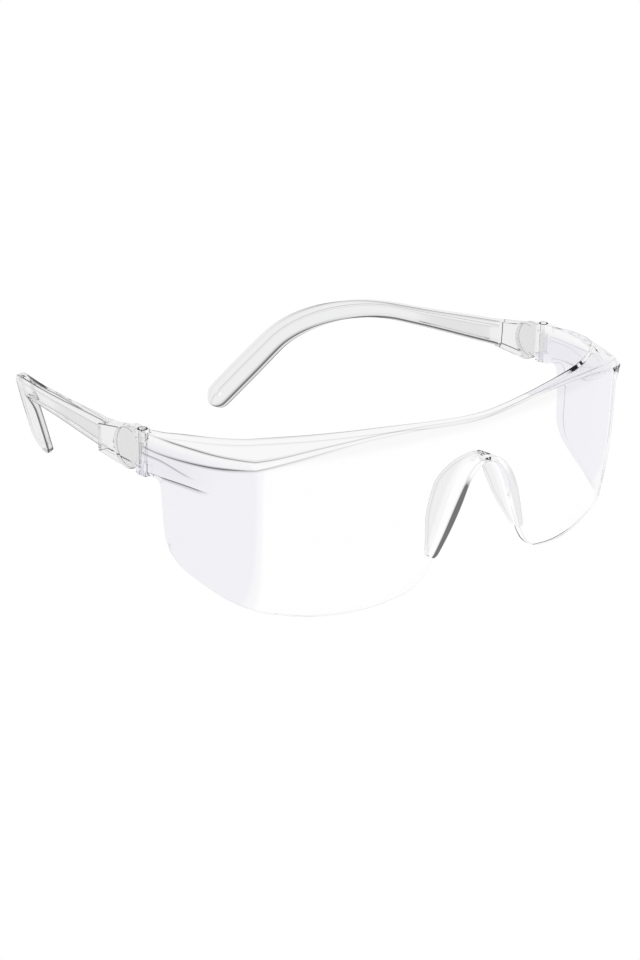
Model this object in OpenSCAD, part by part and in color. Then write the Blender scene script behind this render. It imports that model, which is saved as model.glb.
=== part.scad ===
// Clear over-spectacles: one moulded front, two folding temples whose angle can be set.
// The wearer looks along -Y and the temples run back along +Y. Millimetres.

/* [Lens] */
// Outer radius of the lens seen from above
lens_r = 212; // [190:2:230]
// How far the middle of the lens stands in front of its corners' line
lens_bulge = 12.9; // [12:0.1:14]
// Wall of the lens and the side shields
wall = 2.2; // [1.8:0.1:2.6]
// Height of the lens in its middle, above the surface that it stands on
lens_h = 50; // [46:0.5:54]
// How much narrower the front is at its foot, as a share of its width
foot_taper = 0.1; // [0.04:0.01:0.12]

/* [Brow and side shields] */
// Half width of the front where lens and side shield would meet
corner_x = 75.8; // [75:0.1:76.4]
// Length of the side shields, front to back
shield_len = 28.6; // [24:0.2:30]
// How far the ribs by the hinges stand out
rib_out = 1.1; // [0.4:0.1:1.4]

/* [Nose bridge] */
// Height of the top of the nose arch
nose_top = 37; // [35:0.2:39]
// Half width of the nose arch at its foot
nose_foot = 18.5; // [17:0.1:19.5]
// Depth of the nose pads behind the lens
nose_back = 9; // [6:0.5:10]
// How far the nose pads stand in front of the lens
nose_front = 2.4; // [1:0.2:3]

/* [Hinges] */
// Radius of the hinge barrels
barrel_r = 2; // [1.8:0.1:2.1]
// Radius of the hinge pins
pin_r = 0.9; // [0.7:0.05:1]
// Radius of the round hinge blocks that the temples tilt on
disc_r = 6; // [5.8:0.1:6.2]
// Radial clearance of a pin or a boss in its bore
fit = 0.05; // [0.02:0.01:0.1]

/* [Temples] */
// Thickness of the temple arms
arm_t = 2.6; // [2.2:0.1:3]
// Width of the ear pieces
ear_w = 10; // [8.5:0.1:10.5]
// Depth of the long recess in each arm's outer face
channel = 0.7; // [0.3:0.1:0.9]
// Radius of the cord hole near each tip
cord_r = 1.25; // [1:0.05:1.4]

/* [Hidden] */
round_fn = 64;
y_mid = 71.1;              // half way from the nose pads' front edge to the ear pieces' rear edge
hinge_x = 81;              // fold axis
hinge_y = 38.4;
hinge_lo = 37;             // the hinge's lowest and highest faces
hinge_hi = 49.6;
ear_h = 2.8;               // height of each fixed knuckle
gap = 0.2;                 // between knuckles
tilt_y = 43.6;             // tilt axis, along X
tilt_z = 43;
seam = 0.25;               // between the round block and the temple
plate_x0 = 78;             // the temple's end plate, inner face and outer face
plate_x1 = 80.8;
disc_x1 = 82.7;            // the block's outer face
boss_r = 2.6;

// Point of a cubic curve
function bez(p, t) = pow(1 - t, 3) * p[0] + 3 * t * pow(1 - t, 2) * p[1]
                   + 3 * t * t * (1 - t) * p[2] + pow(t, 3) * p[3];
function unit(v) = v / norm(v);
function flat(lists) = [for (l = lists) for (v = l) v];

// ---- The front, as one section carried round the face ----
// A station is [x, y, inward nx, inward ny, foot height, along], where along runs over the front:
// x on the lens, and shield_0 + y on the side shields.
function lens_y(x) = lens_r - lens_bulge - sqrt(lens_r * lens_r - x * x);
flare = 0.27;              // how fast the side shields widen at their front
curl = 0.00004;            // and how they turn straight again by the hinges
tuck = 2.7;                // how far they draw in at their front corner, over tuck_len
tuck_len = 12;
function side_x(y) = corner_x + flare * y - curl * pow(y, 3.5) / 3.5
                   - tuck * pow(max(tuck_len - y, 0) / tuck_len, 2);
function side_slope(y) = flare - curl * pow(y, 2.5) + 2 * tuck * max(tuck_len - y, 0) / pow(tuck_len, 2);
side_y0 = 3;
shield_0 = 72.4;             // along the front, where the shields begin
beam_end = hinge_y - barrel_r - 0.3;
lens_end = 69.5;

arch = [[0, nose_top], [9.5, nose_top], [11.5, 25], [nose_foot, 10.5]];
nose_corner = [[nose_foot, 10.5], [21.9, 5.4], [24.2, 3.4], [30, 1.9]];
lens_foot = [[30, 1.9], [34.5, 1.2], [42.5, 0.3], [50, 0], [57, 0.7], [63, 1.6], [68, 2.8], [72, 4.2]];
side_foot = [[4.6, 5.2], [12, 7.7], [20, 11.2]];
rear_corner = [[20, 11.2], [26, 13.6], [shield_len - 0.3, 17.5], [shield_len - 0.3, 25]];
rear_fillet = [[shield_len, 34.5], [shield_len + 0.2, 37.3], [shield_len + 1, 38], [shield_len + 3.6, 38]];

function lens_station(x, foot) =
    let (n = unit([-x, sqrt(lens_r * lens_r - x * x)]))
    [x, lens_y(x), n[0], n[1], foot, x];
function side_station(y, foot) =
    let (n = unit([-1, side_slope(y)]))
    [side_x(y), y, n[0], n[1], foot, shield_0 + y];
function corner_station(t) =
    let (a = [lens_end, lens_y(lens_end)], c = [side_x(side_y0), side_y0], b = [corner_x - tuck, 0.05],
         p = (1 - t) * (1 - t) * a + 2 * t * (1 - t) * b + t * t * c,
         d = unit(2 * (1 - t) * (b - a) + 2 * t * (c - b)))
    [p[0], p[1], -d[1], d[0], 3.4 + 1.5 * t, lens_end + t * (shield_0 + side_y0 - lens_end)];

half_front = flat([
    [for (i = [0:12]) let (p = bez(arch, i / 12)) lens_station(p[0], p[1])],
    [for (t = [0.2:0.2:1]) let (p = bez(nose_corner, t)) lens_station(p[0], p[1])],
    [for (x = [33:3.1:lens_end - 1]) lens_station(x, lookup(x, lens_foot))],
    [for (t = [0:0.25:1]) corner_station(t)],
    [for (y = [8:4:16]) side_station(y, lookup(y, side_foot))],
    [for (t = [0:0.2:1]) let (p = bez(rear_corner, t)) side_station(p[0], p[1])],
    [for (t = [0:0.25:1]) let (p = bez(rear_fillet, t)) side_station(p[0], p[1])],
    [side_station(33.8, 37.5)],
    [[side_x(beam_end + 1), beam_end + 1, -1, 0, hinge_lo, shield_0 + beam_end + 1]]
]);
function mirrored(s) = [-s[0], s[1], -s[2], s[3], s[4], s[5]];
front_stations = flat([[for (i = [len(half_front) - 1:-1:0]) half_front[i]],
                       [for (i = [1:len(half_front) - 1]) mirrored(half_front[i])]]);

// Heights and depths along the front
crease_z = [[0, lens_h - 0.9], [24, lens_h + 0.5], [37, lens_h + 0.5], [49, lens_h - 0.3],
            [60, lens_h - 1.8], [72, lens_h - 3.4], [88, lens_h - 4.6], [101, lens_h - 4.8],
            [112, lens_h - 4.4]];
edge_z = [[0, lens_h - 0.5], [12, lens_h + 0.1], [24, lens_h + 1], [36, lens_h + 1.2],
          [48, lens_h + 0.6], [58, lens_h - 0.2], [70, lens_h - 1.4], [81, lens_h - 1.3],
          [101, lens_h - 0.9], [112, lens_h - 0.9]];
rear_z = [[0, lens_h], [20, lens_h + 1.3], [30, lens_h + 2.2], [38, lens_h + 2.8],
          [52, lens_h + 3.1], [66, lens_h + 2.8], [79, lens_h + 2.3], [91, lens_h + 1.6],
          [101, lens_h + 0.5], [108, lens_h - 0.2]];
brow_x = [[36, 36 - 36 * wall / lens_r], [44, 43.4], [52, 50.8], [58, 56.4], [64, 61.8],
          [68, 65.3], [73, 68.8], [75.6, 71], [79, 73], [83, 74.6], [87, 75.9], [91, 76.9],
          [97, 78.2], [103, 79.5], [109, 79.7]];
brow_y = [[36, lens_y(36) + wall], [44, -5.6], [52, -2.9], [58, -0.2], [64, 3], [68, 5.3], [73, 7.8],
          [75.6, 10], [79, 12.6], [83, 15.8], [87, 19], [91, 22], [97, 27], [103, 32.2], [109, 37.4]];
bevel = [[0, 0.3], [36, 0.3], [60, 0.7], [71, 1], [110, 1]];
rib = [[0, 0], [84, 0], [101, rib_out], [110, rib_out * 0.8]];
rib_foot = [[0, 40], [84, 38.2], [94, 38.8], [103, 38.8], [108, 38.2]];
rib_crease = [[0, 42], [86, 40.6], [102, 44], [110, 44]];
lip = [[0, 0.1], [55, 0.2], [76, 0.6], [92, 0.3], [100, 0]];
solid_bar = [[96, 0], [102, 1]];        // 1 where the beam to the hinge fills the section
wall_steps = [0, 0.12, 0.28, 0.48, 0.72, 1];

// The front is widest at two thirds of its height and narrows to its foot
function squeeze(z) = let (h = max(0, (45 - z) / 45)) 1 + 0.02 * h - foot_taper * pow(h, 3);
function front_ring(s) =
    let (a = s[5], foot = s[4], low = lookup(a, rib_foot), c = lookup(a, crease_z), r = lookup(a, rear_z),
         at = [s[0], s[1]], n = [s[2], s[3]], side = s[0] < 0 ? -1 : 1,
         wall_z = [for (k = [0:5]) foot + (low - foot) * wall_steps[k]],
         rib_at = at - lookup(a, rib) * n,
         back = a < 36 ? at + wall * n : [side * lookup(a, brow_x), lookup(a, brow_y)],
         m = lookup(a, solid_bar), wall_at = (1 - m) * (at + wall * n) + m * back)
    [for (p = flat([[for (z = wall_z) [at, z]],
                    [[rib_at, low + 0.6], [rib_at, lookup(a, rib_crease)],
                     [0.7 * at + 0.3 * rib_at - lookup(a, lip) * n, c],
                     [at + lookup(a, bevel) * n, lookup(a, edge_z)],
                     [0.9 * back + 0.1 * at, r], [back, r - 0.3], [back, r - 2.1], [wall_at, c - 2.4]],
                    [for (k = [5:-1:0]) [wall_at, wall_z[k]]]]))
        [p[0][0] * squeeze(p[1]), p[0][1], p[1]]];

// Closed skin over rings of equal length
module loft(rings) {
    n = len(rings[0]);
    last = len(rings) - 1;
    polyhedron(points = flat(rings), faces = flat([
        [[for (j = [0:n - 1]) j]],
        [for (i = [0:last - 1]) for (j = [0:n - 1])
            let (a = i * n + j, b = i * n + (j + 1) % n) [a, a + n, b]],
        [for (i = [0:last - 1]) for (j = [0:n - 1])
            let (a = i * n + j, b = i * n + (j + 1) % n) [b, a + n, b + n]],
        [[for (j = [n - 1:-1:0]) last * n + j]]
    ]), convexity = 12);
}

// The nose pads: a saddle along the arch, deepest half way down each leg
pad_back = [[0, 0.55], [0.25, 0.75], [0.5, 1], [0.75, 0.9], [0.9, 0.6], [1, 0.42]];
function pad_ring(side, t) =
    let (p = bez(arch, t), q = bez(arch, min(1, t + 0.02)), o = bez(arch, max(0, t - 0.02)), d = unit(q - o),
         n = [-d[1], d[0]], y0 = lens_y(p[0]),
         yf = y0 - nose_front * lookup(t, [[0, 0.8], [0.5, 1], [0.75, 0.75], [1, 0.2]]),
         yr = -lens_bulge + nose_back * lookup(t, pad_back))
    [for (k = [[-0.8, yf + 0.4], [-0.5, yf], [0.6, yf], [0.9, yf + 0.4],
               [0.9, yr - 0.4], [0.6, yr], [-0.5, yr], [-0.8, yr - 0.4]])
        [side * (p[0] - n[0] * k[0]), k[1], p[1] - n[1] * k[0]]];

module fixed_knuckles() {
    for (z = [hinge_lo, hinge_hi - ear_h]) {
        translate([hinge_x, hinge_y, z]) cylinder(r = barrel_r, h = ear_h, $fn = round_fn);
        translate([hinge_x - 1.4, beam_end - 1.2, z]) cube([1.4 + barrel_r, 1.5 + barrel_r, ear_h]);
    }
}

module lens_front() color("aliceblue", 0.35) translate([0, -y_mid, 0]) difference() {
    union() {
        difference() {
            loft([for (s = front_stations) front_ring(s)]);
            translate([-100, beam_end, 0]) cube([200, 10, 60]);
        }
        loft(flat([[for (i = [16:-1:1]) pad_ring(-1, i / 16)], [for (i = [0:16]) pad_ring(1, i / 16)]]));
        for (side = [0, 1]) mirror([side, 0, 0]) fixed_knuckles();
    }
    for (side = [-1, 1]) translate([side * hinge_x, hinge_y, hinge_lo - 1])
        cylinder(r = pin_r + fit, h = hinge_hi - hinge_lo + 3, $fn = round_fn);
}

// ---- Hinges ----
// Round block: a disc with a flat front side, its boss for the temple and the middle knuckle
module hinge_block() {
    knuckle_z = hinge_lo + ear_h + gap;
    knuckle_h = hinge_hi - hinge_lo - 2 * (ear_h + gap);
    difference() {
        union() {
            intersection() {
                translate([plate_x1 + seam, tilt_y, tilt_z]) rotate([0, 90, 0])
                    cylinder(r = disc_r, h = disc_x1 - plate_x1 - seam, $fn = round_fn);
                translate([plate_x1, hinge_y + barrel_r + 0.5, tilt_z - disc_r - 1])
                    cube([3, 14, 2 * disc_r + 2]);
            }
            translate([plate_x0 + 0.4, tilt_y, tilt_z]) rotate([0, 90, 0])
                cylinder(r = boss_r, h = disc_x1 - plate_x0 - 0.9, $fn = round_fn);
            translate([plate_x1 + seam, hinge_y, knuckle_z]) cube([disc_x1 - plate_x1 - seam, 5, knuckle_h]);
            translate([hinge_x, hinge_y, knuckle_z]) cylinder(r = barrel_r, h = knuckle_h, $fn = round_fn);
        }
        translate([hinge_x, hinge_y, knuckle_z - 1])
            cylinder(r = pin_r + fit, h = knuckle_h + 2, $fn = round_fn);
    }
}
// Headed pin, put in from above
module hinge_pin() {
    translate([hinge_x, hinge_y, hinge_lo - 0.1])
        cylinder(r = pin_r, h = hinge_hi - hinge_lo + 0.2, $fn = round_fn);
    translate([hinge_x, hinge_y, hinge_hi]) cylinder(r = 1.5, h = 0.5, $fn = round_fn);
}

// ---- Temples ----
arm_a = [79.9, 54, 42.8];          // straight arm, front and rear end
arm_b = [72.7, 99.4, 41.6];
bend_end = [51.3, 138.8, 25.5];      // where the bend round the ear ends
tip = [35.9, 154.6, 1.2];
arm_dir = unit(arm_b - arm_a);
tip_dir = unit(tip - bend_end);
bend = [arm_b, arm_b + 17 * arm_dir, bend_end - 14 * tip_dir, bend_end];
ear_up = [0.04, 0.92, 0.4];        // direction of the ear piece's width

function frame_at(d, up) = let (w = unit(up - (up * d) * d)) [unit(cross(d, w)), w];
// Ring of the arm at p: height h, thickness t, recess depth c, width direction up
function arm_ring(p, d, up, h, t, c) =
    let (f = frame_at(d, up), n = f[0], w = f[1], o = t / 2, k = h / 2, b = min(0.5, t / 5),
         low = -k + 0.9, high = k - 0.3 * h)
    [for (q = [[b - o, -k], [-o, b - k], [-o, k - b], [b - o, k], [o - b, k], [o, k - b],
               [o, high], [o - c, high - 0.15], [o - c, low + 0.15], [o, low], [o, b - k], [o - b, -k]])
        p + q[0] * n + q[1] * w];

arm_h = [[0, 8.6], [0.06, 8.4], [0.1, 8.2], [0.3, 7.6], [0.52, 6.7], [0.75, 6], [1, 5.6]];
arm_rings = [for (u = [0, 0.06, 0.1, 0.12, 0.3, 0.5, 0.7, 0.86, 0.865, 0.93])
    arm_ring(arm_a + u * (arm_b - arm_a), arm_dir, [0, 0, 1], lookup(u, arm_h),
             arm_t + 0.9 * max(0, 1 - u / 0.1), (u >= 0.12 && u <= 0.86) ? channel : 0)];
bend_rings = [for (i = [0:12]) let (t = i / 12, p = bez(bend, t),
        d = unit(bez(bend, min(1, t + 0.01)) - bez(bend, max(0, t - 0.01))))
    arm_ring(p, d, (1 - t) * [0, 0, 1] + t * ear_up, 5.6 + (ear_w - 0.4 - 5.6) * pow(t, 1.5),
             arm_t - 0.3 * t, 0)];
tip_len = norm(tip - bend_end);
tip_rings = [for (i = [1:12])
    let (s = i < 6 ? i / 6 * (tip_len - ear_w / 2) : tip_len - ear_w / 2 * (1 - sin(15 * (i - 6))),
        over = max(0, s - tip_len + ear_w / 2) / (ear_w / 2))
    arm_ring(bend_end + s * tip_dir, tip_dir, ear_up,
             max(1.6, (ear_w - 0.4 + 0.4 * min(1, s / 10)) * sqrt(max(0, 1 - over * over))),
             arm_t - 0.3, 0)];
ear_frame = frame_at(tip_dir, ear_up);
cord_hole = bend_end + (tip_len - ear_w / 2) * tip_dir;

root_y = 57;               // where the thick root of the temple ends
module temple() difference() {
    union() {
        loft(flat([arm_rings, bend_rings, tip_rings]));
        // End plate behind the round block, and the thicker root beside it
        intersection() {
            translate([plate_x0, tilt_y, tilt_z]) rotate([0, 90, 0])
                cylinder(r = disc_r, h = plate_x1 - plate_x0, $fn = round_fn);
            translate([plate_x0, hinge_y + barrel_r + 0.9, tilt_z - 8]) cube([4, 14, 16]);
        }
        difference() {
            translate([plate_x0, 0, 0]) rotate([90, 0, 90]) linear_extrude(height = disc_x1 - plate_x0)
                polygon([[tilt_y, tilt_z - disc_r], [tilt_y + 4, tilt_z - disc_r + 0.4],
                         [root_y, tilt_z - 4.6], [root_y, tilt_z + 3.6],
                         [tilt_y + 4, tilt_z + disc_r - 1], [tilt_y, tilt_z + disc_r]]);
            translate([plate_x1, tilt_y, tilt_z]) rotate([0, 90, 0])
                cylinder(r = disc_r + seam, h = 4, $fn = round_fn);
            translate([plate_x1, tilt_y - 9, tilt_z - 9]) cube([4, 9, 18]);
        }
    }
    translate([plate_x0 - 1, tilt_y, tilt_z]) rotate([0, 90, 0])
        cylinder(r = boss_r + fit, h = 5, $fn = round_fn);
    translate(cord_hole) multmatrix([[ear_frame[1][0], tip_dir[0], ear_frame[0][0], 0],
                                     [ear_frame[1][1], tip_dir[1], ear_frame[0][1], 0],
                                     [ear_frame[1][2], tip_dir[2], ear_frame[0][2], 0],
                                     [0, 0, 0, 1]])
        translate([0, 0, -5]) cylinder(r = cord_r, h = 10, $fn = round_fn);
}

module hinge_block_left() color("whitesmoke", 0.5) translate([0, -y_mid, 0]) hinge_block();
module hinge_block_right() color("whitesmoke", 0.5) translate([0, -y_mid, 0]) mirror([1, 0, 0]) hinge_block();
module hinge_pin_left() color("gainsboro", 0.7) translate([0, -y_mid, 0]) hinge_pin();
module hinge_pin_right() color("gainsboro", 0.7) translate([0, -y_mid, 0]) mirror([1, 0, 0]) hinge_pin();
module temple_left() color("whitesmoke", 0.5) translate([0, -y_mid, 0]) temple();
module temple_right() color("whitesmoke", 0.5) translate([0, -y_mid, 0]) mirror([1, 0, 0]) temple();

lens_front();
hinge_block_left();
hinge_block_right();
hinge_pin_left();
hinge_pin_right();
temple_left();
temple_right();
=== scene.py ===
"""Clear over-spectacles: moulded front, round hinge blocks, pins and temples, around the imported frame.

Lengths are millimetres in the functions below and become metres where a mesh is made.
+X is the wearer's left, +Y runs back towards the wearer, +Z is up.
"""
import math

import bmesh
import bpy
from mathutils import Matrix, Vector
from mathutils.kdtree import KDTree


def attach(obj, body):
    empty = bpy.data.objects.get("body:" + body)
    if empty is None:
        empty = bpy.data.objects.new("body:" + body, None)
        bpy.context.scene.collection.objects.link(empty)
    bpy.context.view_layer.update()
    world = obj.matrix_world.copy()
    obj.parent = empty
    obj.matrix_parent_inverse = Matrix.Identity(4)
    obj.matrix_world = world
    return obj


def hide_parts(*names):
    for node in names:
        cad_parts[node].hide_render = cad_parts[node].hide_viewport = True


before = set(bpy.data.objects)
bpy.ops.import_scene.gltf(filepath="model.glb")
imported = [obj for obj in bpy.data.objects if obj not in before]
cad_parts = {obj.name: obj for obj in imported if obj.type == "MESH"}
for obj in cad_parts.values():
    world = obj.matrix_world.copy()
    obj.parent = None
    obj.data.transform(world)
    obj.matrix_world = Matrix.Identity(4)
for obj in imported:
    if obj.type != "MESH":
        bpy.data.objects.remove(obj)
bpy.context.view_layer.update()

MM = 0.001
Y_MID = 71.1               # the front's own y zero is this far behind the frame's

# Lens
LENS_R = 212.0
LENS_BULGE = 12.9
WALL = 2.2
SWELL_Z, SWELL = 45.0, 0.02
FOOT_TAPER = 0.1
# Side shields
CORNER_X = 75.8
SHIELD_LEN = 28.6
FLARE = 0.27
CURL = 0.00004
SHIELD_0 = 72.4
SIDE_Y0 = 3.0
LENS_END = 69.5
TUCK, TUCK_LEN = 2.7, 12.0
CORNER_Y = 0.05
CORNER_FOOT, CORNER_RISE = 3.4, 1.5
RIB_OUT = 1.07
RIB_SLOPE = 0.6
BROW_T, BROW_UNDER = 2.1, 2.4
# Hinge
HINGE_X, HINGE_Y = 81.0, 38.4
HINGE_LO, HINGE_HI = 37.0, 49.6
KNUCKLE_H = 2.8
KNUCKLE_GAP = 0.2
BARREL_R = 2.0
BARREL_EDGE, DISC_EDGE, PLATE_EDGE = 0.25, 0.35, 0.3
PIN_R = 0.9
PIN_HEAD_R, PIN_HEAD_H = 1.5, 0.5
FIT = 0.05
DISC_R = 6.0
TILT_Y, TILT_Z = 43.6, 43.0
SEAM = 0.25
PLATE_X0, PLATE_X1, DISC_X1 = 78.0, 80.8, 82.7
BEAM_END = HINGE_Y - BARREL_R - 0.3
# Temples
ARM_T = 2.6
ROOT_SWELL = 0.9
EAR_T = 2.3
EAR_W = 10.0
ARM_EDGE, EAR_EDGE, RECESS_EDGE = 0.4, 0.9, 0.15
CHANNEL = 0.7
CORD_R = 1.25
ROOT_Y = 57.0
ARM_A = Vector((79.9, 54, 42.8))
ARM_B = Vector((72.7, 99.4, 41.6))
BEND_END = Vector((51.3, 138.8, 25.5))
TIP = Vector((35.9, 154.6, 1.23))
EAR_UP = Vector((0.04, 0.92, 0.4))


# ---------------------------------------------------------------- curves
def bezier(points, t):
    """Point at t of the cubic curve with these four points."""
    a, b, c, d = points
    s = 1 - t
    return tuple(s ** 3 * a[i] + 3 * t * s * s * b[i] + 3 * t * t * s * c[i] + t ** 3 * d[i]
                 for i in range(len(a)))


def smooth(table, x):
    """Value at x of a smooth curve through the table's points, level with its neighbours' trend."""
    if x <= table[0][0]:
        return table[0][1]
    if x >= table[-1][0]:
        return table[-1][1]
    i = max(k for k in range(len(table) - 1) if table[k][0] <= x)
    (x0, y0), (x1, y1) = table[i], table[i + 1]

    def slope(k):
        if k == 0 or k == len(table) - 1:
            return 0.0 if k == 0 else (table[k][1] - table[k - 1][1]) / (table[k][0] - table[k - 1][0])
        before = (table[k][1] - table[k - 1][1]) / (table[k][0] - table[k - 1][0])
        after = (table[k + 1][1] - table[k][1]) / (table[k + 1][0] - table[k][0])
        if before * after <= 0:
            return 0.0
        return 2 * before * after / (before + after)

    h = x1 - x0
    t = (x - x0) / h
    m0, m1 = slope(i) * h, slope(i + 1) * h
    return ((2 * t ** 3 - 3 * t * t + 1) * y0 + (t ** 3 - 2 * t * t + t) * m0
            + (3 * t * t - 2 * t ** 3) * y1 + (t ** 3 - t * t) * m1)


def steps(low, high, count):
    return [low + (high - low) * i / count for i in range(count + 1)]


# ---------------------------------------------------------------- mesh helpers
def make_mesh(name, points, faces):
    """Object from points in millimetres, in the front's own frame."""
    mesh = bpy.data.meshes.new(name)
    mesh.from_pydata([((x * MM), (y - Y_MID) * MM, z * MM) for x, y, z in points], [], faces)
    mesh.validate()
    piece = bpy.data.objects.new(name, mesh)
    bpy.context.scene.collection.objects.link(piece)
    outward(piece)
    return piece


def outward(piece):
    bm = bmesh.new()
    bm.from_mesh(piece.data)
    bmesh.ops.recalc_face_normals(bm, faces=bm.faces)
    if bm.calc_volume(signed=True) < 0:
        bmesh.ops.reverse_faces(bm, faces=bm.faces)
    bm.to_mesh(piece.data)
    bm.free()


def loft(name, rings, lines):
    """Closed skin over rings of equal length. Lines holds how strong the painted edge shade is at each point.
    """
    n = len(rings[0])
    points = [p for ring in rings for p in ring]
    faces = [tuple(range(n)), tuple(reversed([(len(rings) - 1) * n + j for j in range(n)]))]
    for i in range(len(rings) - 1):
        for j in range(n):
            a, b = i * n + j, i * n + (j + 1) % n
            faces.append((a, a + n, b + n, b))
    piece = make_mesh(name, points, faces)
    mark_painted_shade(piece, [v for ring in lines for v in ring])
    return piece


def mark_painted_shade(piece, values):
    """Strength of the painted edge shade at every point, which the plastic's colour takes on as a darker
    line.
    """
    layer = piece.data.attributes.new("painted_edge_shade", "FLOAT", "POINT")
    for item, value in zip(layer.data, values):
        item.value = value


def hold(p, before, after, r, share=0.42):
    """A corner with a holding point towards each neighbour, at most r away and at most a share of the way."""
    held = []
    for q in (before, after):
        part = min(share, r / max(math.dist(p, q), 1e-6))
        held.append(tuple(a + (b - a) * part for a, b in zip(p, q)))
    return [held[0], tuple(p), held[1]]


def shape(piece, subdiv=0, bevel=0.0):
    """Rounds a piece's sharp edges, or subdivides its cage, and applies the stack."""
    if bevel:
        mod = piece.modifiers.new("rounded edges", "BEVEL")
        mod.width = bevel * MM
        mod.segments = 3
        mod.limit_method = "ANGLE"
        mod.angle_limit = math.radians(40)
    if subdiv:
        mod = piece.modifiers.new("moulded surface", "SUBSURF")
        mod.levels = mod.render_levels = subdiv
    apply_stack(piece)


def apply_stack(piece):
    graph = bpy.context.evaluated_depsgraph_get()
    mesh = bpy.data.meshes.new_from_object(piece.evaluated_get(graph))
    old = piece.data
    piece.modifiers.clear()
    piece.data = mesh
    mesh.name = piece.name
    bpy.data.meshes.remove(old)


def merge(piece, helper, operation):
    """Boolean of a piece with a helper, which is then removed."""
    mod = piece.modifiers.new(operation.lower(), "BOOLEAN")
    mod.operation = operation
    mod.solver = "EXACT"
    mod.object = helper
    bpy.context.view_layer.update()
    apply_stack(piece)
    mesh = helper.data
    bpy.data.objects.remove(helper)
    bpy.data.meshes.remove(mesh)


def mark_bevel_shade(piece, line):
    """Marks the rounded edges of a piece with painted edge shade: the points that touch no face broader than
    5 square millimetres.
    """
    bm = bmesh.new()
    bm.from_mesh(piece.data)
    values = [line if max(face.calc_area() for face in v.link_faces) < 5 * MM ** 2 else 0.0 for v in bm.verts]
    bm.free()
    mark_painted_shade(piece, values)


def read_painted_shade(piece):
    """The points of a piece with their painted edge shade, to be found again after it is joined to others."""
    layer = piece.data.attributes["painted_edge_shade"]
    return [(v.co.copy(), item.value) for v, item in zip(piece.data.vertices, layer.data)]


def set_painted_shade(piece, marked):
    """Gives each point of a joined piece the painted edge shade of the marked point it came from."""
    near = KDTree(len(marked))
    for i, (place, _) in enumerate(marked):
        near.insert(place, i)
    near.balance()
    layer = piece.data.attributes.get("painted_edge_shade")
    if layer:
        piece.data.attributes.remove(layer)
    values = []
    for v in piece.data.vertices:
        _, i, away = near.find(v.co)
        values.append(marked[i][1] if away < 0.005 * MM else 0.0)
    mark_painted_shade(piece, values)


def turned(name, profile, centre, axis, count=48, lines=None):
    """Solid of revolution: profile is [(radius, height)] from bottom to top, about axis through centre."""
    axis = Vector(axis).normalized()
    turn = Vector((0, 0, 1)).rotation_difference(axis).to_matrix()
    points, faces = [], []
    for r, h in profile:
        for k in range(count):
            a = 2 * math.pi * k / count
            points.append(tuple(Vector(centre) + turn @ Vector((r * math.cos(a), r * math.sin(a), h))))
    for i in range(len(profile) - 1):
        for k in range(count):
            a, b = i * count + k, i * count + (k + 1) % count
            faces.append((a, b, b + count, a + count))
    faces.append(tuple(reversed(range(count))))
    faces.append(tuple((len(profile) - 1) * count + k for k in range(count)))
    piece = make_mesh(name, points, faces)
    if lines:
        mark_painted_shade(piece, [v for v in lines for _ in range(count)])
    return piece


def rod(name, r, low, high, centre, axis, edge=0.0, count=48, line=0.0):
    """Cylinder along axis from low to high, its two rims rounded by edge and marked with painted edge shade
    of strength line.
    """
    profile = [(r, low), (r, high)]
    if edge:
        arc = [math.radians(a) for a in (0, 22.5, 45, 67.5, 90)]
        profile = [(r - edge + edge * math.sin(a), low + edge - edge * math.cos(a)) for a in arc]
        profile += [(r - edge + edge * math.cos(a), high - edge + edge * math.sin(a)) for a in arc]
    lines = [0.0] * len(profile)
    if edge:
        lines[2] = lines[-3] = line
    return turned(name, profile, centre, axis, count, lines)


def block(name, low, high):
    (x0, y0, z0), (x1, y1, z1) = low, high
    points = [(x, y, z) for x in (x0, x1) for y in (y0, y1) for z in (z0, z1)]
    faces = [(0, 1, 3, 2), (4, 6, 7, 5), (0, 4, 5, 1), (2, 3, 7, 6), (0, 2, 6, 4), (1, 5, 7, 3)]
    return make_mesh(name, points, faces)


def extruded(name, outline, x0, x1):
    """Prism along X of an outline in Y and Z."""
    n = len(outline)
    points = [(x, y, z) for x in (x0, x1) for y, z in outline]
    faces = [tuple(range(n)), tuple(reversed(range(n, 2 * n)))]
    faces += [(i, (i + 1) % n, n + (i + 1) % n, n + i) for i in range(n)]
    return make_mesh(name, points, faces)


def mirror_piece(piece, name):
    """Copy of a piece, mirrored across the middle plane."""
    mesh = piece.data.copy()
    mesh.name = name
    mesh.transform(Matrix.Scale(-1, 4, (1, 0, 0)))
    mesh.flip_normals()
    copy = bpy.data.objects.new(name, mesh)
    bpy.context.scene.collection.objects.link(copy)
    return copy


def smooth_by_angle(piece, angle):
    """Shades a piece smoothly, apart from the edges that turn by more than the angle."""
    for poly in piece.data.polygons:
        poly.use_smooth = True
    bm = bmesh.new()
    bm.from_mesh(piece.data)
    bmesh.ops.remove_doubles(bm, verts=bm.verts, dist=0.002 * MM)
    for edge in bm.edges:
        edge.smooth = edge.calc_face_angle(0.0) < math.radians(angle)
    bm.to_mesh(piece.data)
    bm.free()


# ---------------------------------------------------------------- the front
ARCH = [(0, 37.0), (9.5, 37.0), (11.5, 25), (18.5, 10.5)]
NOSE_CORNER = [(18.5, 10.5), (21.9, 5.4), (24.2, 3.4), (30, 1.9)]
LENS_FOOT = [(30, 1.9), (34.5, 1.2), (42.5, 0.3), (50, 0.17), (57, 0.7), (63, 1.6), (68, 2.8), (72, 4.2)]
SIDE_FOOT = [(4.6, 5.2), (12, 7.7), (20, 11.2)]
REAR_CORNER = [(20, 11.2), (26, 13.6), (SHIELD_LEN - 0.3, 17.5), (SHIELD_LEN - 0.3, 25)]
REAR_FILLET = [(SHIELD_LEN, 34.5), (SHIELD_LEN + 0.2, 37.3), (SHIELD_LEN + 1, 38), (SHIELD_LEN + 3.6, 38)]

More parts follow.
